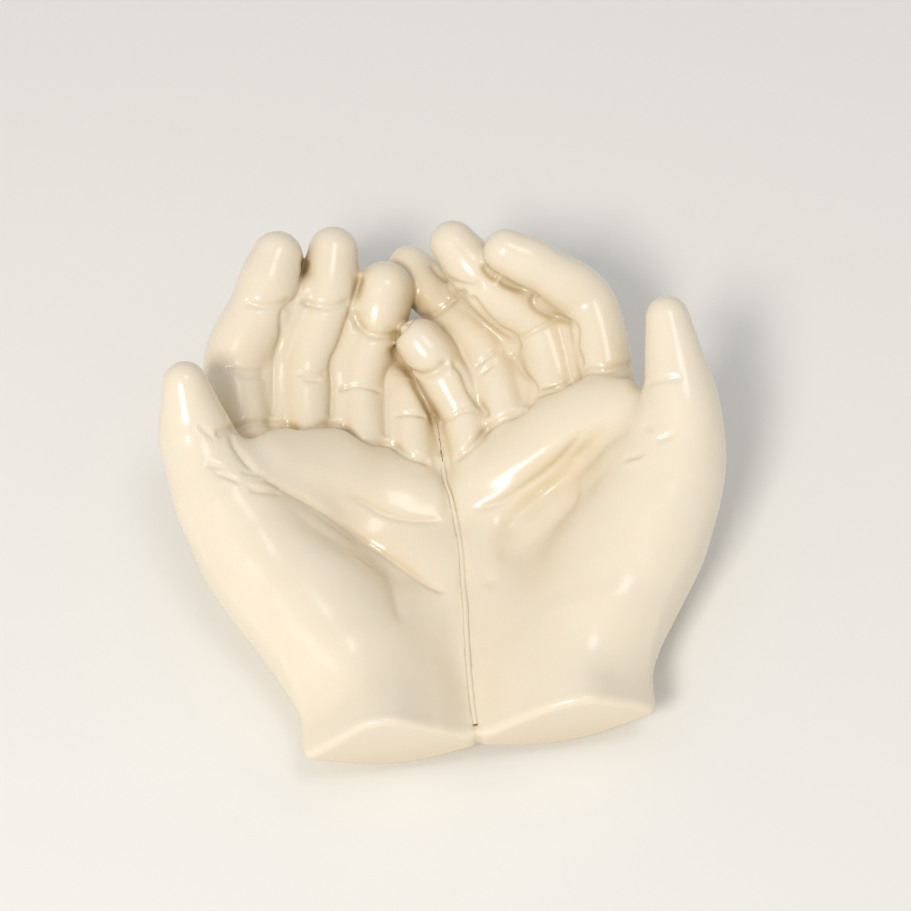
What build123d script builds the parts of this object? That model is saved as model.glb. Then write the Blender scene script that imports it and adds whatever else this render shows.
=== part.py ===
"""Glazed ceramic dish in the shape of two cupped hands.

Two slip-cast hands lie on their backs, side by side, palms up. They are joined with slip along
the little-finger edges, their fingers cross over each other at the back of the bowl, and a slab
closes the two open wrists at the front. Four felt discs sit under the flat feet.

Millimetres, +Z up. The wrists point to -Y, the fingertips to +Y, and the left hand is at -X. The
origin is under the middle of the finished dish, on the surface that it stands on.
"""
from build123d import *
import math
import os

# Overall sizes, which the tables of shares below follow.
half_span = 100.0
length = 200.0
height = 84.0

# Clay walls, the slab over the wrists, and the slip between the hands with its raised bead.
wall = 5.0
slab_thickness = 4.5
slip_thickness = 1.2
vent_bore = 6.0

# Widths of the fingers, of the webs between them, of the thumb and the ball of flesh at its root,
# of the cushion below the fingers, and of the fold from the index finger to the thumb.
index_width = 22.0
middle_width = 21.0
ring_width = 21.0
little_width = 19.0
web_width = 12.0
thumb_width = 40.0
ball_width = 47.0
cushion_width = 34.0
fold_width = 17.0

# Felt discs under the feet.
felt_diameter = 20.0
felt_thickness = 2.0

# Spacing of the rings that a finger or a thumb is shaped by.
ring_step = 7.0

# How far a cutting tool runs past what it cuts.
overrun = 60.0

# Fingers: root, two joints and the middle of the tip. Each row has its place as shares of the
# half span, the length and the height, and its width as a share of the finger's own width.
left_finger_shares = {
    "index": (
        (-0.670, 0.475, 0.333, 0.84), (-0.738, 0.753, 0.488, 1.18),
        (-0.605, 0.862, 0.643, 1.13), (-0.524, 0.936, 0.750, 0.93),
    ),
    "middle": (
        (-0.510, 0.475, 0.220, 0.90), (-0.484, 0.759, 0.393, 1.12),
        (-0.370, 0.872, 0.536, 1.07), (-0.317, 0.962, 0.655, 0.98),
    ),
    "ring": (
        (-0.295, 0.470, 0.155, 0.90), (-0.283, 0.735, 0.298, 1.00),
        (-0.193, 0.833, 0.417, 1.02), (-0.138, 0.897, 0.524, 1.12),
    ),
    "little": (
        (-0.115, 0.465, 0.158, 0.84), (-0.104, 0.677, 0.238, 0.97),
        (-0.105, 0.761, 0.268, 0.92), (-0.069, 0.820, 0.286, 0.84),
    ),
}
right_finger_shares = {
    "index": (
        (0.630, 0.460, 0.333, 0.84), (0.628, 0.760, 0.600, 0.97),
        (0.485, 0.815, 0.738, 0.86), (0.333, 0.847, 0.833, 0.82),
    ),
    "middle": (
        (0.470, 0.460, 0.208, 0.95), (0.436, 0.763, 0.458, 1.11),
        (0.258, 0.836, 0.631, 1.00), (0.144, 0.912, 0.750, 0.88),
    ),
    "ring": (
        (0.285, 0.465, 0.155, 0.90), (0.228, 0.749, 0.345, 1.00),
        (0.082, 0.883, 0.405, 1.02), (-0.032, 0.967, 0.452, 0.90),
    ),
    "little": (
        (0.120, 0.450, 0.158, 0.84), (0.095, 0.657, 0.286, 0.97),
        (0.027, 0.736, 0.393, 1.03), (-0.029, 0.778, 0.464, 1.05),
    ),
}
finger_widths = {
    "index": index_width,
    "middle": middle_width,
    "ring": ring_width,
    "little": little_width,
}

# Thumbs, from inside the heel of the hand to the middle of the tip.
left_thumb_shares = (
    (-0.450, 0.130, 0.214, 0.55), (-0.570, 0.250, 0.298, 0.82), (-0.700, 0.360, 0.387, 0.89),
    (-0.805, 0.460, 0.488, 0.85), (-0.868, 0.577, 0.643, 0.71), (-0.876, 0.642, 0.833, 0.41),
)
right_thumb_shares = (
    (0.450, 0.120, 0.214, 0.55), (0.580, 0.225, 0.298, 0.82), (0.725, 0.320, 0.405, 0.91),
    (0.830, 0.410, 0.524, 0.88), (0.870, 0.508, 0.690, 0.69), (0.859, 0.632, 0.881, 0.41),
)
# The ball of the thumb, from inside the wrist to inside the thumb.
left_ball_shares = (
    (-0.260, 0.070, 0.095, 0.85), (-0.400, 0.200, 0.202, 1.00), (-0.500, 0.310, 0.262, 0.98),
    (-0.600, 0.410, 0.345, 0.85), (-0.700, 0.485, 0.452, 0.60),
)
right_ball_shares = (
    (0.280, 0.060, 0.095, 0.85), (0.440, 0.190, 0.202, 1.00), (0.560, 0.290, 0.262, 0.98),
    (0.660, 0.385, 0.357, 0.85), (0.740, 0.460, 0.476, 0.60),
)

# Cushion of flesh below the fingers, from the seam outwards.
left_cushion_shares = (
    (-0.040, 0.490, 0.214, 0.84), (-0.140, 0.508, 0.226, 0.97), (-0.260, 0.528, 0.262, 1.03),
    (-0.380, 0.550, 0.345, 1.06), (-0.500, 0.545, 0.435, 1.00), (-0.610, 0.533, 0.524, 0.88),
    (-0.690, 0.518, 0.583, 0.65),
)
right_cushion_shares = (
    (0.040, 0.490, 0.214, 0.81), (0.140, 0.510, 0.238, 0.91), (0.260, 0.533, 0.292, 1.00),
    (0.380, 0.553, 0.369, 1.00), (0.500, 0.562, 0.464, 0.88), (0.610, 0.555, 0.548, 0.82),
    (0.690, 0.540, 0.595, 0.71),
)
# The soft pad of the palm between that cushion and the ball of the thumb.
left_pad_shares = (
    (0.060, 0.360, 0.185, 1.00), (-0.070, 0.368, 0.185, 1.00), (-0.180, 0.393, 0.197, 1.00),
    (-0.300, 0.428, 0.232, 0.82), (-0.420, 0.465, 0.305, 0.53),
)
right_pad_shares = (
    (-0.060, 0.365, 0.183, 0.94), (0.070, 0.375, 0.183, 0.94), (0.160, 0.390, 0.195, 0.94),
    (0.270, 0.420, 0.229, 0.71),
)
# The fold of skin that runs down from the right index finger into the palm.
right_fold_shares = (
    (0.720, 0.505, 0.548, 1.00), (0.620, 0.508, 0.452, 0.94), (0.520, 0.493, 0.357, 0.82),
    (0.420, 0.468, 0.286, 0.65),
)

# Palm: one row for each cross-section, from the wrist to the webs of the fingers. A row holds
# its place along the length, how far up its outer edge lies, and the heights of its top and its
# underside at the column shares of the way from the seam to that edge.
column_shares = (0.0, 0.2, 0.42, 0.64, 0.84)
palm_shares = (
    (0.00, 0.226, (0.250, 0.321, 0.386, 0.386, 0.321), (0.119, 0.055, 0.026, 0.036, 0.114)),
    (0.09, 0.232, (0.255, 0.331, 0.393, 0.411, 0.362), (0.109, 0.038, 0.014, 0.021, 0.098)),
    (0.18, 0.255, (0.260, 0.315, 0.375, 0.435, 0.426), (0.099, 0.021, 0.002, 0.012, 0.102)),
    (0.27, 0.311, (0.256, 0.292, 0.345, 0.452, 0.501), (0.095, 0.010, 0.000, 0.025, 0.134)),
    (0.36, 0.370, (0.250, 0.256, 0.304, 0.429, 0.512), (0.091, 0.006, 0.000, 0.047, 0.198)),
    (0.45, 0.418, (0.238, 0.238, 0.286, 0.381, 0.476), (0.094, 0.011, 0.004, 0.089, 0.257)),
    (0.54, 0.429, (0.226, 0.226, 0.262, 0.345, 0.440), (0.112, 0.014, 0.002, 0.110, 0.310)),
    (0.63, 0.396, (0.204, 0.204, 0.246, 0.327, 0.407), (0.139, 0.085, 0.095, 0.200, 0.325)),
)
left_edge_shares = (0.610, 0.610, 0.665, 0.790, 0.890, 0.900, 0.820, 0.760)
right_edge_shares = (0.625, 0.640, 0.720, 0.855, 0.935, 0.920, 0.820, 0.760)
# The hollow inside a hand ends at this row of the palm.
hollow_rows = 6

# Profile of the slip between the hands, over and under, along the length and up.
slip_top_shares = (
    (0.00, 0.260), (0.15, 0.267), (0.30, 0.273), (0.40, 0.276), (0.47, 0.309), (0.54, 0.305),
)
slip_bottom_shares = ((0.59, 0.204), (0.54, 0.129), (0.36, 0.091), (0.18, 0.099), (0.00, 0.119))
# Past this share of the length the fingers cross the middle.
seam_end_share = 0.60

# A finger swells on each bone by this share of its width, and is this deep for its width.
swell_share = 0.05
depth_share = 0.88
# The cushion, the pad and the fold are this deep for their width.
cushion_depth_share = 0.55
pad_depth_share = 0.37
fold_depth_share = 0.70
# A web lies this far below the level of the two fingers that it joins, and ends this far along
# the bone past their first joint.
web_drop_share = 0.03
web_reach_share = 0.5
# How much the width of a finger leans out of the level, for each unit across.
lean_share = 0.45
# Rings that close a rounded end lie at these angles on it.
end_angles = (28, 52, 72)

# Feet: where the felt discs lie, and where a vent lets air out of each hollow.
front_foot_shares = (0.32, 0.17)
rear_foot_shares = (0.27, 0.52)
vent_shares = (0.30, 0.33)


def place(row):
    """A point from its shares of the half span, the length and the height."""
    return Vector(row[0] * half_span, row[1] * length, row[2] * height)


def limb_rings(rows, width, swell):
    """Centres and half widths of a limb's rings, evenly spaced on a smooth path."""
    joints = [place(row) for row in rows]
    ends = [joints[0] * 2 - joints[1]] + joints + [joints[-1] * 2 - joints[-2]]
    centres, wides = [], []
    for i in range(len(joints) - 1):
        start, end = joints[i], joints[i + 1]
        reach = (end - start).length
        leave = (end - ends[i]).normalized() * reach
        arrive = (ends[i + 3] - start).normalized() * reach
        steps = max(2, round(reach / ring_step))
        for step in range(steps):
            t = step / steps
            along = start * (1 - 3 * t**2 + 2 * t**3) + end * (3 * t**2 - 2 * t**3)
            centres.append(along + leave * (t - 2 * t**2 + t**3) + arrive * (t**3 - t**2))
            share = rows[i][3] + (rows[i + 1][3] - rows[i][3]) * t + swell * math.sin(math.pi * t)
            wides.append(width / 2 * share)
    return centres + [joints[-1]], wides + [width / 2 * rows[-1][3]]


def limb(rows, width, swell, depth, side):
    """A rounded limb: a loft through ellipses square to its path, wide along the side."""
    centres, wides = limb_rings(rows, width, swell)
    middle = centres[-1]
    radius = wides[-1]
    run = (middle - centres[-2]).normalized()
    for angle in end_angles:
        centres.append(middle + run * (radius * math.sin(math.radians(angle))))
        wides.append(radius * math.cos(math.radians(angle)))
    rings = []
    for i, (centre, wide) in enumerate(zip(centres, wides)):
        run = (centres[min(i + 1, len(centres) - 1)] - centres[max(i - 1, 0)]).normalized()
        level = side - run * side.dot(run)
        rings.append(Plane(origin=centre, x_dir=level, z_dir=run) * Ellipse(wide, wide * depth))
    return loft(rings)


def finger(rows, width, sign):
    """A finger that swells on each bone and ends in a round tip."""
    return limb(rows, width, swell_share, depth_share, Vector(1, 0, sign * lean_share))


def palm_face(row, edge, sign, inset):
    """One closed cross-section of the palm, drawn in by the inset."""
    along, edge_up, tops, bottoms = row
    y = along * length
    reach = edge * half_span - inset
    columns = [inset + share * (reach - inset) for share in column_shares]
    over = [Vector(sign * x, y, up * height - inset) for x, up in zip(columns, tops)]
    under = [Vector(sign * x, y, up * height + inset) for x, up in zip(columns, bottoms)]
    tip = Vector(sign * reach, y, edge_up * height)
    outwards = Vector(sign, 0, 0)
    upright = Vector(0, 0, 1)
    top = Spline(over + [tip], tangents=[outwards, -upright])
    bottom = Spline([tip] + under[::-1], tangents=[-upright, -outwards])
    return make_face(Wire([top, bottom, Line(under[0], over[0])]))


def palm(edges, sign, rows, inset=0.0):
    """The palm and the wrist as one loft."""
    return loft([palm_face(row, edge, sign, inset) for row, edge in zip(rows, edges)])


def block(x_range, y_range, z_range):
    """A plain block between two places on each axis."""
    sizes = [high - low for low, high in (x_range, y_range, z_range)]
    corner = Vector(x_range[0], y_range[0], z_range[0])
    return Pos(corner) * Box(*sizes, align=(Align.MIN, Align.MIN, Align.MIN))


def web(first_rows, second_rows):
    """The clay that joins two fingers from their roots to a little past their first joint."""
    rows = []
    for first, second in zip(first_rows[:3], second_rows[:3]):
        x, y, z = [(a + b) / 2 for a, b in zip(first[:3], second[:3])]
        rows.append((x, y, z - web_drop_share, 1.0))
    rows[2] = tuple(a + (b - a) * web_reach_share for a, b in zip(rows[1], rows[2]))
    return limb(rows, web_width, 0, 1, Vector(1, 0, 0))


def solid_hand(palm_solid, fingers, limbs, sign):
    """One hand before its wrist, feet, seam and hollow are cut."""
    rows = list(fingers.values())
    parts = [finger(fingers[name], width, sign) for name, width in finger_widths.items()]
    parts += [web(first, second) for first, second in zip(rows[:-1], rows[1:])]
    return palm_solid.fuse(*limbs, *parts)


def hollow(edges, sign):
    """The empty inside of a hand, one wall in from its skin and one wall above its foot."""
    shape = palm(edges, sign, palm_shares[:hollow_rows], wall)
    below = block((-overrun * 2, overrun * 2), (-overrun, length), (-overrun, felt_thickness + wall))
    return shape - below


def trimmed_hand(shape, edges, sign):
    """A hand with its wrist open, its foot flat, its inner edge straight and its inside empty."""
    seam_x = sign * slip_thickness / 2
    beyond = (seam_x, overrun) if sign < 0 else (-overrun, seam_x)
    tall = (-overrun, height + overrun)
    broad = (-half_span - overrun, half_span + overrun)
    shape -= block(beyond, (-overrun, seam_end_share * length), tall)
    shape -= block(broad, (-overrun, slab_thickness), tall)
    shape -= block(broad, (-overrun, length + overrun), (-overrun, felt_thickness))
    shape -= hollow(edges, sign)
    vent_x = sign * vent_shares[0] * half_span
    vent_rise = felt_thickness + wall * 2
    vent = Pos(vent_x, vent_shares[1] * length, 0) * Cylinder(
        vent_bore / 2, vent_rise, align=(Align.CENTER, Align.CENTER, Align.MIN)
    )
    return shape - vent


def slip_joint():
    """The layer of slip between the hands, whose top stands proud as a fine bead."""
    over = [Vector(0, along * length, up * height) for along, up in slip_top_shares]
    under = [Vector(0, along * length, up * height) for along, up in slip_bottom_shares]
    over[0] = Vector(0, slab_thickness, over[0].Z)
    under[-1] = Vector(0, slab_thickness, under[-1].Z)
    outline = Wire([Spline(over + [under[0]]), Spline(under), Line(under[-1], over[0])])
    return Pos(-slip_thickness / 2, 0, 0) * extrude(make_face(outline), slip_thickness, Vector(1, 0, 0))


def wrist_slab(left_palm, right_palm):
    """The slab that closes both wrists, cut to their outline."""
    slice_block = block((-half_span, half_span), (0, slab_thickness), (0, height))
    return (left_palm + right_palm) & slice_block


def felt_disc(sign, shares):
    """A felt disc under a flat foot."""
    disc = Cylinder(felt_diameter / 2, felt_thickness, align=(Align.CENTER, Align.CENTER, Align.MIN))
    return Pos(sign * shares[0] * half_span, shares[1] * length, 0) * disc


left_palm = palm(left_edge_shares, -1, palm_shares)
right_palm = palm(right_edge_shares, 1, palm_shares)
upright_side, long_side = Vector(1, 0, 0), Vector(0, 1, 0)
left_limbs = [
    limb(left_thumb_shares, thumb_width, 0, 1, upright_side),
    limb(left_ball_shares, ball_width, 0, 1, upright_side),
    limb(left_cushion_shares, cushion_width, 0, cushion_depth_share, long_side),
    limb(left_pad_shares, cushion_width, 0, pad_depth_share, long_side),
]
right_limbs = [
    limb(right_thumb_shares, thumb_width, 0, 1, upright_side),
    limb(right_ball_shares, ball_width, 0, 1, upright_side),
    limb(right_cushion_shares, cushion_width, 0, cushion_depth_share, long_side),
    limb(right_pad_shares, cushion_width, 0, pad_depth_share, long_side),
    limb(right_fold_shares, fold_width, 0, fold_depth_share, long_side),
]
left_solid = solid_hand(left_palm, left_finger_shares, left_limbs, -1)
right_solid = solid_hand(right_palm, right_finger_shares, right_limbs, 1)

# The right little finger lies over the left one, and the left ring finger over the right one.
right_little = finger(right_finger_shares["little"], little_width, 1)
left_ring = finger(left_finger_shares["ring"], ring_width, -1)
left_hand = trimmed_hand(left_solid, left_edge_shares, -1) - right_little
right_hand = trimmed_hand(right_solid, right_edge_shares, 1) - left_ring

nodes = {
    "left_hand": left_hand,
    "right_hand": right_hand,
    "slip_joint": slip_joint(),
    "wrist_end_slab": wrist_slab(left_palm, right_palm),
    "felt_pad_front_left": felt_disc(-1, front_foot_shares),
    "felt_pad_front_right": felt_disc(1, front_foot_shares),
    "felt_pad_rear_left": felt_disc(-1, rear_foot_shares),
    "felt_pad_rear_right": felt_disc(1, rear_foot_shares),
}

os.makedirs("parts", exist_ok=True)
middle = Compound(children=[solid for node in nodes.values() for solid in node.solids()])
centre = middle.bounding_box().center()
for name, node in nodes.items():
    export_step(Pos(-centre.X, -centre.Y, 0) * node, f"parts/{name}.step")
    print(name, [round(solid.volume) for solid in node.solids()])
print("centre", centre, "size", middle.bounding_box().size)
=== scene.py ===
# %% [markdown]
# # Two cupped hands in glazed ceramic
# The object is an ornament: a left and a right hand lie on their backs, side by side, and hold
# their fingers up at the back and their thumbs up at the sides, so that they make a dish.
# It is cast in liquid clay, joined with slip, and covered all over with a glossy ivory glaze.
# This file shapes the hands the way a modeller does: thick rolls of clay first, then the seams
# between them, then the creases, and the glaze last. All lengths in the file are millimetres
# until a mesh is made, because that is how such a dish is measured.

# %% Load the frame
import bpy
import math
import numpy as np
from mathutils import Matrix, Vector


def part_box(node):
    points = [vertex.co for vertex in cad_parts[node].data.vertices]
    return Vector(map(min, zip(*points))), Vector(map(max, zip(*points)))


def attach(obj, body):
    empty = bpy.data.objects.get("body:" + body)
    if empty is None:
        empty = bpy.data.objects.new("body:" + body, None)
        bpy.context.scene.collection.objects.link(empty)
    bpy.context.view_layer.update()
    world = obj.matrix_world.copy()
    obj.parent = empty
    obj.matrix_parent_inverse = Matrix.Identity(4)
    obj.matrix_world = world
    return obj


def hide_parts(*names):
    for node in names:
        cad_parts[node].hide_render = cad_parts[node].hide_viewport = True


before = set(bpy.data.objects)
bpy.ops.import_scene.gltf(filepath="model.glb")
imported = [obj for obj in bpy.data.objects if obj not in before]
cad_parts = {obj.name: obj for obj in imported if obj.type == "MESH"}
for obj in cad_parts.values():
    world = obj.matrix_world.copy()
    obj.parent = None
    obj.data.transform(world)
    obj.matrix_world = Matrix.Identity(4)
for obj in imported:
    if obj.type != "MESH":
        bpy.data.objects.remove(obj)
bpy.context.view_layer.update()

MM = 0.001

# %% [markdown]
# ## Where the hands lie
# The places below are measured from the seam between the hands, from the flat face of the
# wrists, and up from the table. The frame's own origin is under the middle of the dish, so one
# shift joins the two. It is read from the slip layer and the wrist slab.

# %% The shift from the seam and the wrist face to the frame's origin
slip_low, slip_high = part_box("slip_joint")
slab_low, slab_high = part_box("wrist_end_slab")
SHIFT = np.array([(slip_low.x + slip_high.x) / 2, slab_low.y, 0.0]) / MM
SLAB = (slab_high.y - slab_low.y) / MM
SLIP = (slip_high.x - slip_low.x) / MM
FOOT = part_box("left_hand")[0].z / MM
print("shift", SHIFT.round(2), "slab", round(SLAB, 2), "slip", round(SLIP, 2), "foot", round(FOOT, 2))

# %% [markdown]
# ## The camera
# The photo is taken from 57 degrees above the table, by a hand-held camera that is turned a
# little, so the dish leans in the picture. The camera comes first here, because the creases are
# placed by the pixel at which the photo shows them, and each such pixel is a ray from the lens.

# %% A camera at the photo's angle
# The picture's side and the focal length are in pixels, and the eye is in millimetres, on the
# same axes as the hands. They put the wrists, the thumbs and the fingertips where the photo has
# them.
PICTURE = 911
HEIGHT_ANGLE = math.radians(57.0)
TURN = math.radians(7.4)
FOCUS = 1767.956
SENSOR = 36.0
EYE = np.array([5.009, -248.487, 580.049])

right = np.array([1.0, 0.0, 0.0])
up = np.array([0.0, math.sin(HEIGHT_ANGLE), math.cos(HEIGHT_ANGLE)])
back = np.array([0.0, -math.cos(HEIGHT_ANGLE), math.sin(HEIGHT_ANGLE)])
picture_right = right * math.cos(TURN) - up * math.sin(TURN)
picture_up = right * math.sin(TURN) + up * math.cos(TURN)


def ray_of(u, v):
    """The direction in which the camera sees a pixel of the picture."""
    x, y = u - PICTURE / 2, v - PICTURE / 2
    ray = picture_right * x - picture_up * y - back * FOCUS
    return ray / np.linalg.norm(ray)


def pixel_of(point):
    """The pixel at which the camera sees a point."""
    step = np.asarray(point, float) - EYE
    depth = -(step @ back)
    x, y = (step @ picture_right) / depth, (step @ picture_up) / depth
    return PICTURE / 2 + x * FOCUS, PICTURE / 2 - y * FOCUS


camera_data = bpy.data.cameras.new("camera")
camera = bpy.data.objects.new("camera", camera_data)
bpy.context.scene.collection.objects.link(camera)
turned = Matrix([[picture_right[i], picture_up[i], back[i]] for i in range(3)]).to_4x4()
camera.matrix_world = Matrix.Translation(Vector((EYE + SHIFT) * MM)) @ turned
camera_data.sensor_width = SENSOR
camera_data.lens = FOCUS / PICTURE * SENSOR
camera_data.clip_start, camera_data.clip_end = 0.01, 20
bpy.context.scene.camera = camera
print("lens", round(camera_data.lens, 2), "seam's near end at pixel", np.round(pixel_of((0, 0, 22)), 1))

# %% [markdown]
# ## Clay as a distance field
# A hand is a few thick rolls that flow into each other. Rolls that are joined by booleans meet in
# hard lines, and metaballs can't be steered. A distance field is better: for each point of a fine
# grid it says how far the skin of a roll is. Two fields are joined by the smaller of the two, and
# a soft minimum leaves a fillet in the corner, which is just what wet clay and glaze do.

# %% The grid that the clay is measured on
# Distances are right up to the margin from a skin. Farther out they only have to be large.
STEP = 0.66
MARGIN = 9.0
FAR = 1000.0


class Clay:
    """A block of grid points, with the distance from each to the skin of the clay."""

    def __init__(self, low, high):
        self.low = np.array(low, float)
        counts = np.ceil((np.array(high) - self.low) / STEP).astype(int) + 1
        self.axes = [(self.low[i] + STEP * np.arange(counts[i])).astype(np.float32) for i in range(3)]

    def empty(self):
        """A field with no clay in it."""
        return np.full([len(axis) for axis in self.axes], FAR, np.float32)

    def part(self, low, high):
        """The slices of the block between two corners, and their coordinates."""
        cuts = []
        for axis, a, b in zip(self.axes, low, high):
            cuts.append(slice(int(np.searchsorted(axis, a)), int(np.searchsorted(axis, b, "right"))))
        x, y, z = [axis[cut] for axis, cut in zip(self.axes, cuts)]
        return tuple(cuts), x[:, None, None], y[None, :, None], z[None, None, :]


print("the clay is measured every", STEP, "mm")


# %% Joining clay and wiping it
def soften(a, b, blend):
    """The two fields joined, with a fillet of about the blend in the corner between them."""
    overlap = np.maximum(blend - np.abs(a - b), 0)
    return np.minimum(a, b) - overlap * overlap / (4 * blend)


def smooth_clay(field, rounds):
    """The field with each point averaged with its neighbours, as a wet sponge evens the clay."""
    field = np.clip(field, -MARGIN, MARGIN)
    for axis in [0, 1, 2] * rounds:
        field = np.moveaxis(field, axis, 0)
        field[1:-1] = field[:-2] / 4 + field[1:-1] / 2 + field[2:] / 4
        field = np.moveaxis(field, 0, axis)
    return field


corner = soften(np.zeros(1), np.zeros(1), 4.0)
print("a blend of 4 mm fills a corner by", -corner[0], "mm")


# %% Rolls of clay along smooth paths
def roll_of_clay(clay, centres, radii, flat=1.0):
    """A roll through the centres. Flat under 1 draws it out along Y, for a cushion."""
    field = clay.empty()
    for a, b, ra, rb in zip(centres[:-1], centres[1:], radii[:-1], radii[1:]):
        reach = max(ra, rb) + MARGIN
        side = np.array([reach, reach / flat, reach])
        cut, x, y, z = clay.part(np.minimum(a, b) - side, np.maximum(a, b) + side)
        d = b - a
        dx, dy, dz = d[0], d[1] * flat, d[2]
        px, py, pz = x - a[0], (y - a[1]) * flat, z - a[2]
        t = np.clip((px * dx + py * dy + pz * dz) / (dx * dx + dy * dy + dz * dz), 0, 1)
        away = np.sqrt((px - t * dx) ** 2 + (py - t * dy) ** 2 + (pz - t * dz) ** 2)
        field[cut] = np.minimum(field[cut], away - (ra + t * (rb - ra)))
    return field


def smooth_path(rows, swell=0.0, steps=12):
    """Centres and radii on a smooth path through rows of x, y, z and width."""
    rows = np.array(rows, float)
    places = rows[:, :3]
    ends = np.vstack([2 * places[0] - places[1], places, 2 * places[-1] - places[-2]])
    centres, radii = [], []
    for i in range(len(rows) - 1):
        a, b = places[i], places[i + 1]
        reach = np.linalg.norm(b - a)
        leave = (b - ends[i]) / np.linalg.norm(b - ends[i]) * reach
        arrive = (ends[i + 3] - a) / np.linalg.norm(ends[i + 3] - a) * reach
        for t in np.arange(steps) / steps:
            along = a * (1 - 3 * t**2 + 2 * t**3) + b * (3 * t**2 - 2 * t**3)
            centres.append(along + leave * (t - 2 * t**2 + t**3) + arrive * (t**3 - t**2))
            width = rows[i, 3] + (rows[i + 1, 3] - rows[i, 3]) * t
            radii.append(width / 2 + swell * math.sin(math.pi * t) ** 2)
    return np.array(centres + [places[-1]]), np.array(radii + [rows[-1, 3] / 2])


def flat_roll(clay, rows, flat):
    """A roll whose sections are drawn out along Y, for a cushion, a pad or a fold."""
    rows = [(x, y, z, width * flat) for x, y, z, width in rows]
    return roll_of_clay(clay, *smooth_path(rows), flat=flat)


middles, radii = smooth_path([(0, 0, 0, 20), (0, 30, 0, 18), (0, 50, 10, 16)], 0.6)
print("a finger of two bones has", len(middles), "balls, up to", round(2 * radii.max(), 1), "mm thick")

# %% [markdown]
# ## Palm and wrist
# The palm is broad and shallow, so a table of heights suits it better than rolls: each row is a
# cut across the hand, from the wrist to the webs of the fingers, with the heights of its top and
# of its underside. Between the rows and the columns the heights run smoothly. The same table
# serves both hands, and only the outer edge differs.

# %% Heights of the palm
# The rows are 18 mm apart from the wrist, and the columns are shares of the way from the seam
# to the outer edge. The wrists are thicker at their end, which the lift adds.
ALONG = 18.0 * np.arange(8)
COLUMNS = np.array([0.0, 0.2, 0.42, 0.64, 0.84])
EDGE_UP = np.array([19.0, 19.5, 21.4, 26.1, 31.1, 35.1, 36.0, 33.3])
TOPS = np.array([
    [21.0, 27.0, 32.4, 32.4, 27.0],
    [21.4, 27.8, 33.0, 34.5, 30.4],
    [21.8, 26.5, 31.5, 36.5, 35.8],
    [21.5, 24.5, 29.0, 38.0, 42.1],
    [21.0, 21.5, 25.5, 36.0, 43.0],
    [20.0, 20.0, 24.0, 32.0, 40.0],
    [19.0, 19.0, 22.0, 29.0, 37.0],
    [17.1, 17.1, 20.7, 27.5, 34.2],
])
UNDERS = np.array([
    [9.7, 6.7, 4.3, 6.0, 11.0],
    [9.2, 4.6, 2.4, 3.4, 9.0],
    [8.3, 1.8, 0.2, 1.0, 8.6],
    [8.0, 0.8, 0.0, 2.1, 11.3],
    [7.6, 0.5, 0.0, 3.9, 16.6],
    [7.9, 0.9, 0.3, 7.5, 21.6],
    [9.4, 1.2, 0.2, 9.2, 26.0],
    [11.7, 7.1, 8.0, 16.8, 27.3],
])
LIFT_END = 42.0
WRIST_LIFT = {
    "left": np.array([0, 2.5, 8.0, 8.5, 4.0]),
    "right": np.array([0, 1.0, 3.5, 6.0, 6.5]),
}
EDGES = {
    "left": np.array([61.0, 61.0, 66.5, 79.0, 89.0, 90.0, 82.0, 76.0]),
    "right": np.array([62.5, 64.0, 72.0, 85.5, 93.5, 92.0, 82.0, 76.0]),
}
print("the wrists are", EDGES["left"][0] + EDGES["right"][0], "mm wide")


# %% The palm as a field between two height maps
def smooth_read(at, known, values):
    """Values along the first axis read at new places, on a smooth curve through the known ones."""
    known, values = np.asarray(known, float), np.asarray(values, float)
    slopes = np.gradient(values, known, axis=0)
    at = np.clip(at, known[0], known[-1])
    i = np.clip(np.searchsorted(known, at, "right") - 1, 0, len(known) - 2)
    gap = known[i + 1] - known[i]
    t = (at - known[i]) / gap
    shape = (slice(None),) + (None,) * (values.ndim - 1)
    t, gap = t[shape], gap[shape]
    rise = 3 * t**2 - 2 * t**3
    out = values[i] * (1 - rise) + values[i + 1] * rise
    return out + gap * (slopes[i] * (t - 2 * t**2 + t**3) + slopes[i + 1] * (t**3 - t**2))


def palm_of_clay(clay, sign, edges, lift):
    """The palm and wrist as one field, with the wrist's top lifted near its end."""
    x, y, z = clay.axes
    edge = smooth_read(y, ALONG, edges)
    edge_up = smooth_read(y, ALONG, EDGE_UP)
    share = np.maximum(sign * x, 0)[:, None] / edge[None, :]
    inside = np.clip(share, 0, 1)
    heights = []
    for table in (TOPS, UNDERS):
        rows = smooth_read(y, ALONG, table)
        if table is TOPS:
            rows = rows + np.clip(1 - y / LIFT_END, 0, 1)[:, None] ** 1.5 * lift
        known = np.concatenate([-COLUMNS[:0:-1], COLUMNS, [1.0]])
        last = rows[:, -1:] * 1.8 - rows[:, -2:-1] * 0.8
        columns = np.hstack([rows[:, :0:-1], rows, last])
        height = np.empty(share.shape)
        for j in range(len(y)):
            height[:, j] = smooth_read(inside[:, j], known, columns[j])
        close = np.sqrt(np.clip(1 - inside**5, 0, 1))
        height = edge_up[None, :] + (height - edge_up[None, :]) * close
        heights.append(height)
    beyond = np.maximum(share - 1, 0) * edge[None, :]
    over, under = heights[0] - beyond, heights[1] + beyond
    field = -sign * x[:, None, None]
    for height, way in ((over, 1), (under, -1)):
        slope = np.hypot(*np.gradient(height, STEP))
        steep = np.sqrt(1 + np.minimum(slope, 4) ** 2)[:, :, None]
        field = np.maximum(field, way * (z[None, None, :] - height[:, :, None]) / steep)
    return field.astype(np.float32)


print("a palm is", len(ALONG), "rows of", len(COLUMNS), "heights over as many below")


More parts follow.
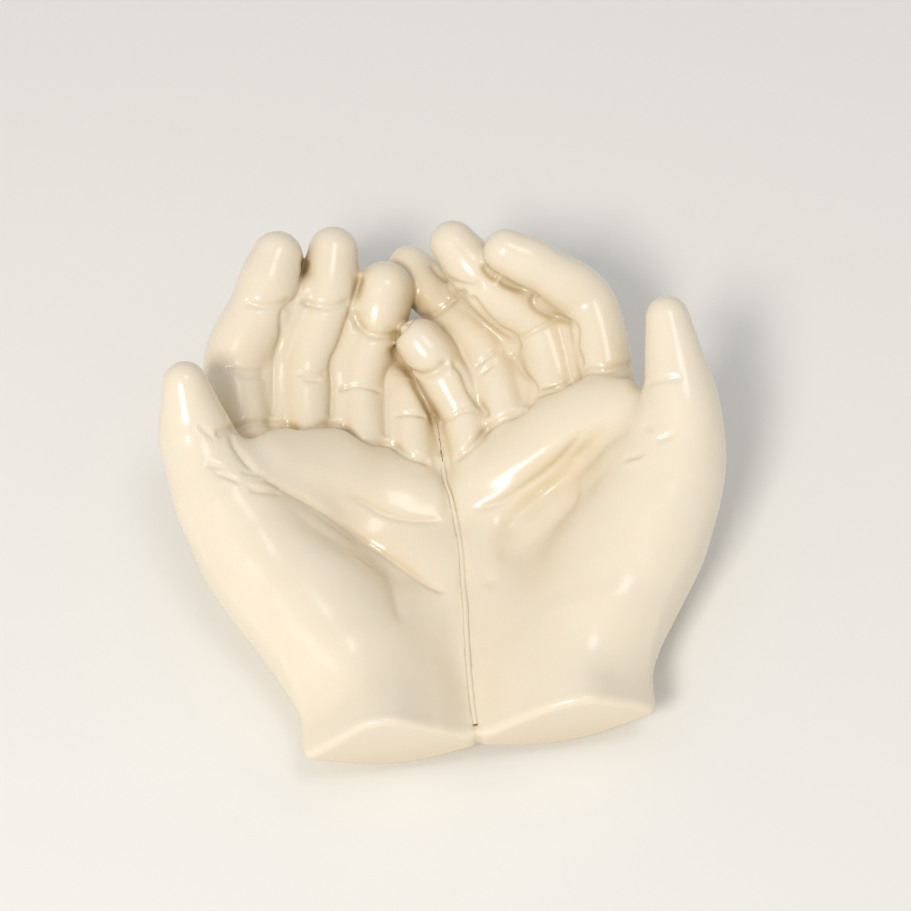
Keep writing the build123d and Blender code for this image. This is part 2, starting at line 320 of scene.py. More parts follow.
# %% [markdown]
# ## Fingers and thumbs
# Each finger is a roll through its knuckle, its two joints and its tip, with its width at each.
# It swells a little on every bone and is slimmer at the joints. The cushion of flesh under the
# fingers and the ball of the thumb are thicker rolls. The fingers curl up, and at the back of
# the dish the right little finger lies over the left one.

# %% Places and widths of the fingers
BONES = {
    "left": {
        "index": [(-67, 95, 28, 18.5), (-73.8, 150.6, 41, 26),
                  (-60.5, 172.3, 54, 25), (-52.4, 187.2, 63, 20.5)],
        "middle": [(-51, 95, 18.5, 19), (-48.4, 151.8, 33, 23.5),
                   (-37, 174.5, 45, 22.5), (-31.7, 192.3, 55, 20.5)],
        "ring": [(-29.5, 94, 13, 19), (-28.3, 147, 25, 21),
                 (-19.3, 166.6, 35, 21.5), (-13.8, 179.4, 44, 23.5)],
        "little": [(-11.5, 93, 13.3, 16), (-10.4, 135.4, 20, 18.5),
                   (-10.5, 152.1, 22.5, 17.5), (-6.9, 164, 24, 16)],
    },
    "right": {
        "index": [(63, 92, 28, 18.5), (62.8, 152, 50.4, 21.5),
                  (48.5, 163, 62, 19), (33.3, 169.5, 70, 18)],
        "middle": [(47, 92, 17.5, 20), (43.6, 152.6, 38.5, 23.5),
                   (25.8, 167.2, 53, 21), (14.4, 182.4, 63, 18.5)],
        "ring": [(28.5, 93, 13, 19), (22.8, 149.8, 29, 21),
                 (8.2, 176.7, 34, 21.5), (-3.2, 193.5, 38, 19)],
        "little": [(12, 90, 13.3, 16), (9.5, 131.4, 24, 18.5),
                   (2.7, 147.3, 33, 19.5), (-2.9, 155.7, 39, 20)],
    },
}
print("the tallest fingertip reaches", max(r[-1][2] + r[-1][3] / 2 for r in BONES["right"].values()), "mm")

# %% Places and widths of the thumbs and the flesh of the palm
THUMBS = {
    "left": [(-45, 26, 18, 22), (-57, 50, 25, 33), (-70, 72, 32.5, 35.5), (-80.5, 92, 41, 34),
             (-86.8, 115.4, 54, 28.5), (-87.6, 128.4, 70, 16.5)],
    "right": [(45, 24, 18, 22), (58, 45, 25, 33), (72.5, 64, 34, 36.5), (83, 82, 44, 35),
              (87, 101.6, 58, 27.5), (85.9, 126.4, 74, 16.5)],
}
CUSHIONS = {
    "left": [(-6, 98.5, 17, 29), (-14, 101.5, 19, 33), (-26, 105.5, 22, 35), (-38, 110, 29, 36),
             (-50, 109, 36.5, 34), (-61, 106.5, 44, 30), (-69, 103.5, 49, 22)],
    "right": [(6, 98.5, 17, 28), (14, 102, 20, 31), (26, 106.5, 24.5, 34), (38, 110.5, 31, 34),
              (50, 112.5, 39, 30), (61, 111, 46, 28), (69, 108, 50, 24)],
}
BALLS = {
    "left": [(-27, 24, 13, 34), (-40, 42, 16, 47), (-50, 62, 20.5, 47), (-60, 82, 27.5, 41),
             (-70, 97, 38, 28)],
    "right": [(29, 24, 13, 34), (44, 40, 16, 47), (56, 60, 20.5, 47), (66, 78, 29, 41),
              (74, 93, 40, 28)],
}
PADS = {
    "left": [(-7, 73, 12.5, 34), (-18, 78.5, 13.5, 34), (-30, 85.5, 17, 28), (-42, 93, 24, 18)],
    "right": [(7, 75, 12.5, 32), (16, 78, 13.5, 32), (27, 84, 17, 24)],
}
FOLDS = {
    "left": [],
    "right": [(72, 101, 46, 17), (62, 101.5, 38, 16), (52, 98.5, 30, 14), (42, 93.5, 24, 11)],
}
print("the cushions are up to", max(row[3] for row in CUSHIONS["left"]), "mm broad")

# %% [markdown]
# ## Sticking the rolls together
# A modeller sticks the rolls to the palm with slip and rubs the joints over with a thumb. How
# broadly a joint is rubbed over is its blend: the ball of the thumb flows into the palm, while
# neighbouring fingers keep a crease between them. Webs, thin rolls that lie halfway between two
# fingers, close the gaps at their feet.

# %% One hand
CUSHION_FLAT, FOLD_FLAT = 0.55, 0.7
PALM_END, PALM_END_BLEND = 126.0, 10.0
THUMB_BLEND, BALL_BLEND, PAD_BLEND, FOLD_BLEND = 16.0, 7.0, 6.0, 9.0
FINGER_BLEND, WEB_BLEND, FOOT_BLEND, CUSHION_BLEND = 3.0, 1.5, 2.0, 3.0
SWELL = 0.6
WEB_SHARE = {"left": 0.70, "right": 0.55}
WEB_REACH = 0.75
WEB_SET_BACK = np.array([0, 1.0, 0])
BRIDGE = np.array([[0.0, 100, 13], [0, 128, 17]])
BRIDGE_RADII = [7.0, 6.0]


def fingers_of_clay(clay, side):
    """The four fingers, with the webs between them and the clay that joins both hands there."""
    paths = [smooth_path(rows, SWELL) for rows in BONES[side].values()]
    fingers = roll_of_clay(clay, *paths[0])
    for path in paths[1:]:
        fingers = soften(fingers, roll_of_clay(clay, *path), FINGER_BLEND)
    for (a, wide), (b, narrow) in zip(paths[:-1], paths[1:]):
        reach = int(WEB_REACH * len(a))
        centres = (a + b)[:reach] / 2 + WEB_SET_BACK
        web = roll_of_clay(clay, centres, (wide + narrow)[:reach] / 2 * WEB_SHARE[side])
        fingers = soften(fingers, web, WEB_BLEND)
    return soften(fingers, roll_of_clay(clay, BRIDGE, BRIDGE_RADII), FOOT_BLEND)


def hand_of_clay(clay, side, sign):
    """One hand: the palm, the ball of the thumb, the cushion and the fingers, joined."""
    palm = palm_of_clay(clay, sign, EDGES[side], WRIST_LIFT[side])
    end = clay.axes[1][None, :, None] - PALM_END + np.zeros_like(palm)
    palm = -soften(-palm, -end, PALM_END_BLEND)
    thumb = roll_of_clay(clay, *smooth_path(THUMBS[side]))
    ball = roll_of_clay(clay, *smooth_path(BALLS[side]))
    hand = soften(palm, soften(thumb, ball, THUMB_BLEND), BALL_BLEND)
    hand = soften(hand, flat_roll(clay, PADS[side], CUSHION_FLAT), PAD_BLEND)
    if FOLDS[side]:
        hand = soften(hand, flat_roll(clay, FOLDS[side], FOLD_FLAT), FOLD_BLEND)
    hand = soften(hand, fingers_of_clay(clay, side), FOOT_BLEND)
    return soften(hand, flat_roll(clay, CUSHIONS[side], CUSHION_FLAT), CUSHION_BLEND)


BLOCK_LOW, BLOCK_HIGH = (-104, -2.4, -2.4), (104, 206, 86)
clay = Clay(BLOCK_LOW, BLOCK_HIGH)
left_clay = hand_of_clay(clay, "left", -1)
right_clay = hand_of_clay(clay, "right", 1)
for name, one in (("left", left_clay), ("right", right_clay)):
    print(name, "hand holds", int((one < 0).sum() * STEP**3 / 1000), "cm3 of clay")

# %% [markdown]
# ## Wiping the clay
# Where three rolls meet, joining them leaves a small pit. A modeller wipes it with a wet sponge.
# Here the field of both hands is averaged a little everywhere, and a lot in the hollow of each
# palm. The skin is then drawn in by half a millimetre, so that the glaze and its ripples stay
# inside the real size.

# %% Both hands, wiped
BOTH_BLEND, WIPES, INSIDE = 1.6, 5, 0.45
SPONGE_FADE = 10.0
SPONGES = [
    ((-66, 34, 6), (-1, 104, 62), 70),
    ((1, 34, 6), (70, 104, 62), 120),
]


def even_out(field, low, high, rounds):
    """Wipes the clay inside a box with a wet sponge, and not at all at the faces of the box."""
    cut, *places = clay.part(low, high)
    weight = 1
    for axis, a, b in zip(places, low, high):
        t = np.clip(np.minimum(axis - a, b - axis) / SPONGE_FADE, 0, 1)
        weight = weight * t * t * (3 - 2 * t)
    field[cut] += weight * (smooth_clay(field[cut], rounds) - field[cut])


both = smooth_clay(soften(left_clay, right_clay, BOTH_BLEND), WIPES) + INSIDE
for low, high, rounds in SPONGES:
    even_out(both, low, high, rounds)
print("grid", both.shape, "clay inside", int((both < 0).sum() * STEP**3 / 1000), "cm3")

# %% Reading the clay between its grid points
# A point on the block's last face is read from just inside it.
CORNERS = np.array([(i, j, k) for i in (0, 1) for j in (0, 1) for k in (0, 1)])
ALMOST = 0.999
TINY = 1e-6


def read_field(field, points):
    """The field at any points, from the eight grid points around each."""
    spot = np.clip((points - clay.low) / STEP, 0, np.array(field.shape) - 2 + ALMOST)
    base = spot.astype(int)
    share = spot - base
    value = 0
    for corner in CORNERS:
        weight = 1
        for axis, far_side in enumerate(corner):
            weight = weight * (share[:, axis] if far_side else 1 - share[:, axis])
        value = value + weight * field[tuple((base + corner).T)]
    return value


def slope_of(read, points, reach=0.5):
    """Which way and how fast a distance grows at each point."""
    slope = np.empty_like(points)
    for axis in range(3):
        step = np.zeros(3)
        step[axis] = reach
        slope[:, axis] = (read(points + step) - read(points - step)) / (2 * reach)
    return slope


def skin(points):
    """Distance to the glazed skin of both hands."""
    return read_field(both, points)


def outwards(points, reach=0.5):
    """The direction straight out of the skin at each point."""
    slope = slope_of(skin, points, reach)
    return slope / np.maximum(np.linalg.norm(slope, axis=1), TINY)[:, None]


deepest = skin(np.array([[-45.0, 60.0, 18.0]]))[0]
print("the middle of the left palm is", -round(float(deepest), 1), "mm inside the clay")

# %% [markdown]
# ## Creases
# A modeller draws the creases of a palm with a wooden tool, and the thumb nail softens them. Here
# the tool runs along pixels of the picture: each pixel is a ray from the lens, and where the ray
# meets the clay the tool goes in. A deep narrow stroke makes the edge of a cushion, a shallow one
# a crease of a joint, a broad one a valley, and a stroke with a negative depth raises a ridge.

# %% Where the pixels lie on the clay
TOUCH_STEPS = 110
TOUCH_SHARE = 0.7


def along_pixels(pixels, spacing):
    """Evenly spaced pixels on a smooth line through the given ones."""
    pixels = np.array(pixels, float)
    known = np.concatenate([[0], np.cumsum(np.linalg.norm(np.diff(pixels, axis=0), axis=1))])
    return smooth_read(np.linspace(0, known[-1], max(3, int(known[-1] / spacing))), known, pixels)


def touch(pixels):
    """The places on the clay that the camera sees at the pixels."""
    rays = np.array([ray_of(u, v) for u, v in pixels])
    points = EYE + rays * ((EYE[2] - clay.axes[2][-1]) / -rays[:, 2])[:, None]
    for _ in range(TOUCH_STEPS):
        points = points + rays * (np.clip(skin(points), -1.5, 2.5) * TOUCH_SHARE)[:, None]
    return points


thumb_tip = touch([(184, 380)])[0]
print("the camera sees the left thumb's tip at", thumb_tip.round(), "mm")

# %% Where the seam lies
# The hands are pushed together while the clay is soft, so the line between them bows.
SEAM_PIXELS = [
    (442, 465), (445, 480), (451, 495), (454, 510), (457, 525), (461, 550), (463, 580), (465, 600),
    (467, 640), (470, 680), (474, 715), (477, 733),
]
SEAM_END, SEAM_EASE = 111.0, 12.0
seam_line = touch(along_pixels(SEAM_PIXELS, 3.0))[::-1]


def seam_x(y):
    """How far to the right the seam lies at each place along the hands."""
    bow = np.interp(y, seam_line[:, 1], seam_line[:, 0])
    return bow * np.clip((SEAM_END - y) / SEAM_EASE, 0, 1)


print("the seam bows by up to", seam_line[:, 0].max().round(1), "mm")

# %% A tool that presses into the clay
# A stroke is left out between two pixels that lie far apart on the clay, because there it would
# jump from one finger to another. The tool's side is round, and it reaches far along the line
# straight into the clay, so that the clay moves in and not sideways.
JUMP = 4.0
TOOL_REACH = 2.4
TOOL_ROUNDNESS = 1.6
ALONG_NORMAL = 0.8
FADE = 3.0


def press(field, pixels, width, depth, fade=FADE):
    """Presses a tool of a width into the clay, to a depth that fades at both ends."""
    places = touch(along_pixels(pixels, max(1.5, width)))
    normals = outwards(places, 1.0)
    runs = np.linalg.norm(np.diff(places, axis=0), axis=1)
    at = np.concatenate([[0], np.cumsum(runs)])
    ease = np.clip(np.minimum(at, at[-1] - at) / fade, 0, 1)
    ease = ease * ease * (3 - 2 * ease)
    reach = width * TOOL_REACH + abs(depth)
    cut = clay.part(places.min(0) - reach, places.max(0) + reach)[0]
    near = np.full([c.stop - c.start for c in cut], FAR, np.float32)
    force = np.zeros_like(near)
    for i, run in enumerate(runs):
        if not TINY < run < JUMP:
            continue
        a, b, n = places[i], places[i + 1], normals[i]
        inner, x, y, z = clay.part(np.minimum(a, b) - reach, np.maximum(a, b) + reach)
        spot = tuple(slice(c.start - o.start, c.stop - o.start) for c, o in zip(inner, cut))
        d = b - a
        px, py, pz = x - a[0], y - a[1], z - a[2]
        t = np.clip((px * d[0] + py * d[1] + pz * d[2]) / (run * run), 0, 1)
        qx, qy, qz = px - t * d[0], py - t * d[1], pz - t * d[2]
        lift = qx * n[0] + qy * n[1] + qz * n[2]
        away = np.sqrt(np.maximum(qx * qx + qy * qy + qz * qz - ALONG_NORMAL * lift * lift, 0))
        closer = away < near[spot]
        near[spot] = np.where(closer, away, near[spot])
        force[spot] = np.where(closer, ease[i] + (ease[i + 1] - ease[i]) * t, force[spot])
    field[cut] += depth * force * np.exp(-(near / width) ** TOOL_ROUNDNESS)


# %% Strokes, as pixels of the picture
# Each row has the tool's width, how deep it goes and over what length it is lifted off, all in
# millimetres, and its strokes. A negative depth raises a ridge.
STROKES = [
    ("edge of the left cushion", 1.5, 1.7, FADE, [
        [(214, 436), (225, 431), (238, 428), (252, 423), (273, 423), (300, 427), (315, 425), (332, 423),
         (345, 427), (365, 440), (392, 445), (410, 456), (423, 460), (433, 464)],
    ]),
    ("edge of the right cushion", 1.5, 1.7, FADE, [
        [(453, 460), (461, 455), (475, 443), (487, 429), (500, 420), (527, 408), (536, 396), (547, 391),
         (562, 387), (575, 380), (586, 371), (604, 370), (620, 367), (638, 364)],
    ]),
    ("left end of the cushion", 1.5, 1.2, FADE, [[(231, 433), (235, 445), (244, 459), (257, 473)]]),
    ("heart lines", 1.4, 0.8, 12.0, [
        [(340, 494), (362, 502), (380, 512), (402, 519), (425, 521), (436, 521), (451, 523)],
        [(464, 513), (473, 510), (500, 502), (520, 490), (545, 473), (565, 455), (578, 437), (583, 422)],
    ]),
    ("hollow of the right palm", 9.0, 2.0, 25.2, [
        [(632, 440), (592, 478), (552, 518), (515, 553), (488, 588)],
    ]),
    ("broad valley along the left life line", 8.0, 2.6, 22.2, [
        [(262, 486), (300, 510), (345, 540), (388, 566), (420, 590)],
    ]),
    ("life line of each hand", 4.2, 1.8, 16.0, [
        [(250, 474), (270, 482), (300, 498), (345, 528), (390, 557), (425, 583), (447, 592)],
        [(640, 426), (610, 437), (590, 455), (560, 482), (530, 506), (505, 530), (490, 555)],
    ]),
    ("sharp bottoms of those lines", 1.1, 0.9, FADE, [
        [(262, 478), (285, 491), (320, 510), (370, 545), (410, 573), (430, 586), (447, 593)],
    ]),
    ("shorter valleys", 3.2, 1.0, 9.0, [
        [(380, 560), (391, 582), (398, 605), (400, 628)],
        [(518, 512), (511, 540), (498, 566)],
        [(474, 585), (486, 582), (503, 576)],
    ]),
    ("folds of the webs", 1.2, 0.8, FADE, [
        [(246, 489), (262, 492), (282, 494)], [(238, 471), (252, 473), (266, 474)],
        [(212, 471), (226, 477), (242, 484)], [(203, 464), (214, 466), (227, 468)],
        [(196, 423), (206, 431), (218, 441)], [(640, 425), (648, 428), (655, 432)],
        [(653, 441), (664, 438), (676, 435)], [(622, 459), (633, 457), (646, 453)],
        [(646, 384), (664, 380), (684, 377)],
    ]),
    ("ridges beside those folds", 1.2, -0.4, FADE, [
        [(216, 477), (228, 481), (242, 488)], [(246, 484), (262, 486), (278, 489)],
        [(622, 464), (633, 462), (646, 458)],
    ]),
    ("soft creases under the finger pads", 1.5, 1.3, FADE, [
        [(243, 301), (256, 305), (272, 306), (292, 301)], [(298, 299), (312, 305), (330, 307), (352, 301)],
        [(412, 318), (430, 316), (446, 306), (458, 296), (467, 289)],
        [(430, 262), (440, 274), (456, 283), (472, 287), (484, 285)],
        [(497, 280), (516, 288), (536, 292)],
    ]),
    ("edges of the round finger pads", 1.5, 2.0, FADE, [
        [(414, 312), (406, 325), (396, 334), (381, 336), (366, 332), (356, 321), (353, 308)],
        [(393, 344), (397, 357), (408, 370), (422, 376), (437, 371), (449, 359)],
    ]),
    ("creases of the middle joints", 0.9, 0.9, FADE, [
        [(222, 369), (243, 371), (266, 371)], [(236, 376), (250, 377), (266, 377)],
        [(294, 373), (311, 375), (329, 373)], [(300, 379), (312, 380), (323, 379)],
        [(336, 391), (358, 386), (384, 392)], [(392, 416), (410, 414), (428, 417)],
        [(438, 424), (450, 418), (462, 411), (482, 411)],
        [(473, 369), (486, 358), (502, 346)], [(478, 376), (488, 368), (498, 360)],
        [(518, 341), (532, 332), (545, 325), (558, 318)],
        [(538, 393), (556, 388), (572, 381)],
    ]),
    ("grooves between the fingers", 1.5, 1.4, FADE, [
        [(307, 258), (303, 274), (298, 297), (285, 309), (281, 338), (275, 362), (274, 392), (274, 420)],
        [(361, 274), (354, 300), (347, 325), (340, 345), (332, 362), (333, 390), (331, 421)],
        [(399, 360), (389, 372), (386, 400), (387, 440)],
        [(404, 362), (415, 384), (428, 408), (436, 430), (442, 458)],
        [(450, 360), (461, 370), (470, 390), (480, 405), (490, 418)],
        [(470, 294), (485, 315), (500, 329), (515, 338), (520, 352)],
        [(511, 352), (522, 371), (534, 386), (538, 398)],
        [(536, 292), (533, 302), (546, 313), (562, 319), (574, 325), (577, 350), (584, 368)],
        [(482, 262), (487, 272), (500, 281)],
    ]),
]
for _, width, depth, fade, lines in STROKES:
    for line in lines:
        press(both, line, width, depth, fade)
print("pressed", sum(len(row[-1]) for row in STROKES), "strokes in", len(STROKES), "kinds")

# %% [markdown]
# ## The seam and the ripples of the glaze
# The seam lies in a shallow groove, and from the middle of the palms to the wrists the clay rises
# along it to the bead of slip. The skin of a hand-finished casting is never flat either: two long
# waves, less than a quarter of a millimetre high, make its highlights wander as they do on real
# glaze.

# %% The groove of the seam
GROOVE_WIDTH, GROOVE_DEPTH = 1.8, 0.5
RISE_FROM, RISE_WIDTH, RISE_HEIGHT, RISE_FADE = 6, 1.6, 1.0, 8.0
press(both, SEAM_PIXELS, GROOVE_WIDTH, GROOVE_DEPTH)
press(both, SEAM_PIXELS[RISE_FROM:], RISE_WIDTH, -RISE_HEIGHT, RISE_FADE)
print("the groove is", GROOVE_DEPTH, "mm deep, and the clay beside the bead rises", RISE_HEIGHT, "mm")

# %% The ripples
WAVES = ((6.1, 0.13), (9.7, 0.22))


def block_places():
    """The coordinates of the grid's points, ready to be combined."""
    x, y, z = [axis.astype(float) for axis in clay.axes]
    return x[:, None, None], y[None, :, None], z[None, None, :]


x, y, z = block_places()
for reach, height in WAVES:
    phase = height * 9
    wave = np.sin(x / reach + z / reach) * np.sin(y / reach + 0.6 * z / reach + phase)
    both += (height * wave).astype(np.float32)
print("the ripples are", [round(2 * math.pi * reach) for reach, _ in WAVES], "mm long")

# %% [markdown]
# ## From the field to a mesh
# Surface nets put one vertex in each grid cell that the skin passes through, and one quad across
# each grid edge that it crosses. The quads are even and have no poles, which shades well. The
# vertices are then moved onto the skin itself, and onto both surfaces where a cut makes an edge,
# so cut edges stay crisp.

# %% A mesh from a field
AROUND_AN_EDGE = ((-1, -1), (0, -1), (0, 0), (-1, 0))


def net_of(field):
    """Vertices and quads of the skin of a field."""
    inside = field < 0
    cells = np.zeros([n - 1 for n in field.shape], np.int8)
    for corner in CORNERS:
        cells += inside[tuple(slice(c, c + n) for c, n in zip(corner, cells.shape))]
    where = np.argwhere((cells > 0) & (cells < len(CORNERS)))
    number = np.full(cells.shape, -1, np.int32)
    number[tuple(where.T)] = np.arange(len(where))
    total, count = np.zeros((len(where), 3)), np.zeros(len(where))
    edges = [(a, b) for a in CORNERS for b in CORNERS if (b - a).sum() == 1 and (b >= a).all()]
    for a, b in edges:
        va = field[tuple((where + a).T)].astype(float)
        vb = field[tuple((where + b).T)].astype(float)
        crosses = (va < 0) != (vb < 0)
        t = np.where(crosses, va / np.where(crosses, va - vb, 1), 0)
        total += np.where(crosses[:, None], a + t[:, None] * (b - a), 0)
        count += crosses
    vertices = clay.low + STEP * (where + total / count[:, None])
    quads = []
    for axis in range(3):
        p, q = [(1, 2), (2, 0), (0, 1)][axis]
        change = -np.diff(inside.astype(np.int8), axis=axis)
        for sign in (1, -1):
            at = np.argwhere(change == sign)
            at = at[(at[:, [p, q]] > 0).all(1) & (at[:, p] < cells.shape[p]) & (at[:, q] < cells.shape[q])]
            around = []
            for dp, dq in AROUND_AN_EDGE:
                cell = at.copy()
                cell[:, p] += dp
                cell[:, q] += dq
                around.append(number[tuple(cell.T)])
            around = np.array(around).T
            quads.append(around if sign == 1 else around[:, ::-1])
    return vertices, np.vstack(quads)


ball = np.linalg.norm(np.indices((9, 9, 9)) - 4.0, axis=0) - 2.5
print("a ball that is 5 steps thick becomes", len(net_of(ball)[1]), "quads")

# %% Moving the vertices onto the skin
NEAR_SHARE = 0.9


def settle(points, surfaces, rounds=4):
    """Moves each point onto every surface that passes close by it."""
    start, points = points, points.copy()
    near = [np.abs(read(points)) < NEAR_SHARE * STEP for read in surfaces]
    for _ in range(rounds):
        for read, close in zip(surfaces, near):
            moving = points[close]
            slope = slope_of(read, moving)
            size = np.maximum((slope**2).sum(1), 0.2)
            points[close] = moving - slope * (read(moving) / size)[:, None]
    return start + np.clip(points - start, -STEP, STEP)


on_skin = settle(thumb_tip[None, :] + 0.3, [skin])
print("a point beside the thumb settles", round(float(abs(skin(on_skin)[0])), 3), "mm from the skin")

# %% [markdown]
# ## From a mesh to a piece
# A mesh of this many even quads has more faces than it needs on the smooth backs of the hands.
# Decimate takes them out there and leaves them in the creases. Its long triangles would show in
# a mirror-like glaze, so the shading doesn't come from them: each vertex is told which way the
# skin faces, which the field knows exactly.

# %% Pieces, thinned and shaded
SAME_SKIN = 0.3
CREASE_ANGLE = 55.0


def thin_out(piece, limit):
    """Takes out triangles where the skin is smooth and keeps those that the creases need."""
    count = sum(len(face.vertices) - 2 for face in piece.data.polygons)
    if count <= limit:
        return
    piece.modifiers.new("thin out", "DECIMATE").ratio = limit / count
    view = bpy.context.evaluated_depsgraph_get()
    thinner = bpy.data.meshes.new_from_object(piece.evaluated_get(view))
    piece.modifiers.clear()
    piece.data = thinner


def lay_normals(piece, read):
    """Shades the glazed skin by the slope of its field, so that no triangle shows in it."""
    mesh = piece.data
    places = np.empty(len(mesh.vertices) * 3, np.float32)
    mesh.vertices.foreach_get("co", places)
    points = places.reshape(-1, 3).astype(float) / MM - SHIFT
    x, y, z = points.T
    glazed = (np.abs(read(points)) < SAME_SKIN) & (z > FOOT + 1)
    glazed &= (np.abs(x - seam_x(y)) > SLIP / 2 + 0.5) | (y > SEAM_END + 1) | (y < SLAB)
    slope = slope_of(read, points[glazed], 0.4)
    normals = np.zeros_like(points)
    normals[glazed] = slope / np.maximum(np.linalg.norm(slope, axis=1), TINY)[:, None]
    mesh.normals_split_custom_set_from_vertices(normals.tolist())


def make_piece(name, vertices, faces):
    """A Blender object from places in millimetres, with its place in its mesh."""
    mesh = bpy.data.meshes.new(name)
    mesh.vertices.add(len(vertices))
    mesh.vertices.foreach_set("co", ((vertices + SHIFT) * MM).astype(np.float32).ravel())
    mesh.loops.add(faces.size)
    mesh.loops.foreach_set("vertex_index", faces.astype(np.int32).ravel())
    mesh.polygons.add(len(faces))
    mesh.polygons.foreach_set("loop_start", np.arange(0, faces.size, faces.shape[1], dtype=np.int32))
    mesh.polygons.foreach_set("use_smooth", np.ones(len(faces), bool))
    mesh.update(calc_edges=True)
    mesh.validate()
    mesh.set_sharp_from_angle(angle=math.radians(CREASE_ANGLE))
    piece = bpy.data.objects.new(name, mesh)
    bpy.context.scene.collection.objects.link(piece)
    return piece


print("edges sharper than", CREASE_ANGLE, "degrees stay sharp, such as the rims of the feet")

# %% [markdown]
# ## The two hands as pieces
# Both hands come from one field, so the glaze runs from one to the other wherever fingers touch.
# A surface halfway between the hands says which clay belongs to which. Along the palms the slip
# layer parts them, the wrists end at the slab, and the feet are ground flat for the felt.

# %% Surfaces that cut the clay
# Under the fingers both hands hold the same clay, so a slight slope shares it out at the seam.
VENT = 3.0
VENT_PLACE = (30.0, 66.0)
VENT_TOP = 12.0
SHARE_OUT = 0.04
between = (left_clay - right_clay) / 2 + SHARE_OUT * clay.axes[0][:, None, None]


def seam_of(sign, x, y):
    """Distance out of a hand's side of the slip, along the palms."""
    return SLIP / 2 - sign * (x - seam_x(y))


def vent_of(sign, x, y, z):
    """Distance out of the vent hole in a foot."""
    hole = VENT - np.hypot(x - sign * VENT_PLACE[0], y - VENT_PLACE[1])
    return np.minimum(hole, VENT_TOP - z)


def make_hand(sign):
    """The vertices and quads of one hand, cut from the clay of both."""
    x, y, z = block_places()
    field = np.maximum(both, np.where(y < SEAM_END, -FAR, -sign * between))
    seam = np.where(y < SEAM_END, seam_of(sign, x, y), -FAR)
    for cut in (seam, SLAB - y, FOOT - z, vent_of(sign, x, y, z)):
        field = np.maximum(field, cut)
    vertices, quads = net_of(field.astype(np.float32))
    surfaces = [
        skin,
        lambda p: np.where(p[:, 1] < SEAM_END, seam_of(sign, p[:, 0], p[:, 1]), FAR),
        lambda p: SLAB - p[:, 1],
        lambda p: FOOT - p[:, 2],
    ]
    return settle(vertices, surfaces), quads


left_vertices, left_quads = make_hand(-1)
right_vertices, right_quads = make_hand(1)
print("left", len(left_quads) * 2, "triangles, right", len(right_quads) * 2)

# %% [markdown]
# ## The wrist slab
# A flat slab of clay closes both wrists. It has the wrists' own outline, and its front edge is
# rounded by a wet sponge, which is the light line that runs across the top of the wrists.

# %% The slab, cut from the same clay
ROUNDING = 1.6


def front(points):
    """Distance out of the slab's face and its rounded edge."""
    a, b = skin(points), -points[:, 1]
    return -soften(-a, -b, ROUNDING * 2)


_, y, z = [axis.astype(np.float32) for axis in block_places()]
rounded = -soften(-both, y + np.zeros_like(both), ROUNDING * 2)
slab_field = np.maximum(np.maximum(rounded, y - SLAB), FOOT - z)
slab_vertices, slab_quads = net_of(slab_field.astype(np.float32))
slab_vertices = settle(slab_vertices, [front, lambda p: p[:, 1] - SLAB])
print("slab", len(slab_quads) * 2, "triangles")

# %% The three ceramic pieces
TRIANGLES = 190000
left_hand = make_piece("left_hand_glazed", left_vertices, left_quads)
right_hand = make_piece("right_hand_glazed", right_vertices, right_quads)
slab = make_piece("wrist_slab_glazed", slab_vertices, slab_quads)
for hand in (left_hand, right_hand):
    thin_out(hand, TRIANGLES)
    lay_normals(hand, skin)
    print(hand.name, len(hand.data.polygons), "faces after thinning")
lay_normals(slab, front)

# %% [markdown]
# ## Glaze
# The glaze is a thin layer of ivory glass over white clay. Light goes a little way into it before
# it comes back, so the creases look warm and soft. In the kiln the glaze runs off the ridges and
# pools in the creases, where it is thicker and browner. Painting that by hand would take a map.
# Ambient occlusion finds the creases by itself, because it measures how much of the sky a point
# sees. Within a few millimetres it browns the creases, which paints in their shade as well as the
# pooled glaze, and within the depth of the bowl it paints shade, so the inside of the bowl is darker.

# %% Helpers for materials
# A Mix node has a set of sockets for each kind of data, so its colours go by number.
FIRST_COLOUR, SECOND_COLOUR, MIXED_COLOUR = 6, 7, 2


def linear(code):
    """An sRGB hex colour as linear red, green, blue and alpha."""
    parts = [int(code[i:i + 2], 16) / 255 for i in (1, 3, 5)]
    return [c / 12.92 if c <= 0.04045 else ((c + 0.055) / 1.055) ** 2.4 for c in parts] + [1.0]


def add(tree, kind, settings=None, links=None):
    """A node with its settings, and its inputs linked from other nodes' outputs."""
    node = tree.nodes.new(kind)
    for name, value in (settings or {}).items():
        if isinstance(name, str) and hasattr(node, name):
            setattr(node, name, value)
        else:
            node.inputs[name].default_value = value
    for name, output in (links or {}).items():
        tree.links.new(output, node.inputs[name])
    return node


def new_material(name):
    """An empty node material and its tree."""
    material = bpy.data.materials.new(name)
    material.use_nodes = True
    material.node_tree.nodes.clear()
    return material, material.node_tree


print("half grey is", round(linear("#808080")[0], 3), "of white in linear light")

# %% Ivory glaze, dipped and fired
# It gives the eye a warm body colour with faint clouds of 22 mm, where the dip was uneven, sharp
# soft-edged highlights that waver over a ripple of 2.4 mm, creases browned by pooled glaze and by
# painted shade, and painted shade in the bowl.
POOL_AND_SHADE_REACH, BOWL_SHADE_REACH = 4.5, 45.0
CLOUD, RIPPLE, RIPPLE_HEIGHT = 22.22, 2.38, 0.2
GLOW_DEPTH = 1.5
glaze, tree = new_material("ivory_glaze")
place = add(tree, "ShaderNodeTexCoord")
cloud = add(tree, "ShaderNodeTexNoise", {"Scale": 1 / (CLOUD * MM), "Detail": 2.0}, {
    "Vector": place.outputs["Object"],
})
body = add(tree, "ShaderNodeMix", {
    "data_type": "RGBA", FIRST_COLOUR: linear("#F0E4CE"), SECOND_COLOUR: linear("#F5EAD6"),
}, {"Factor": cloud.outputs["Fac"]})
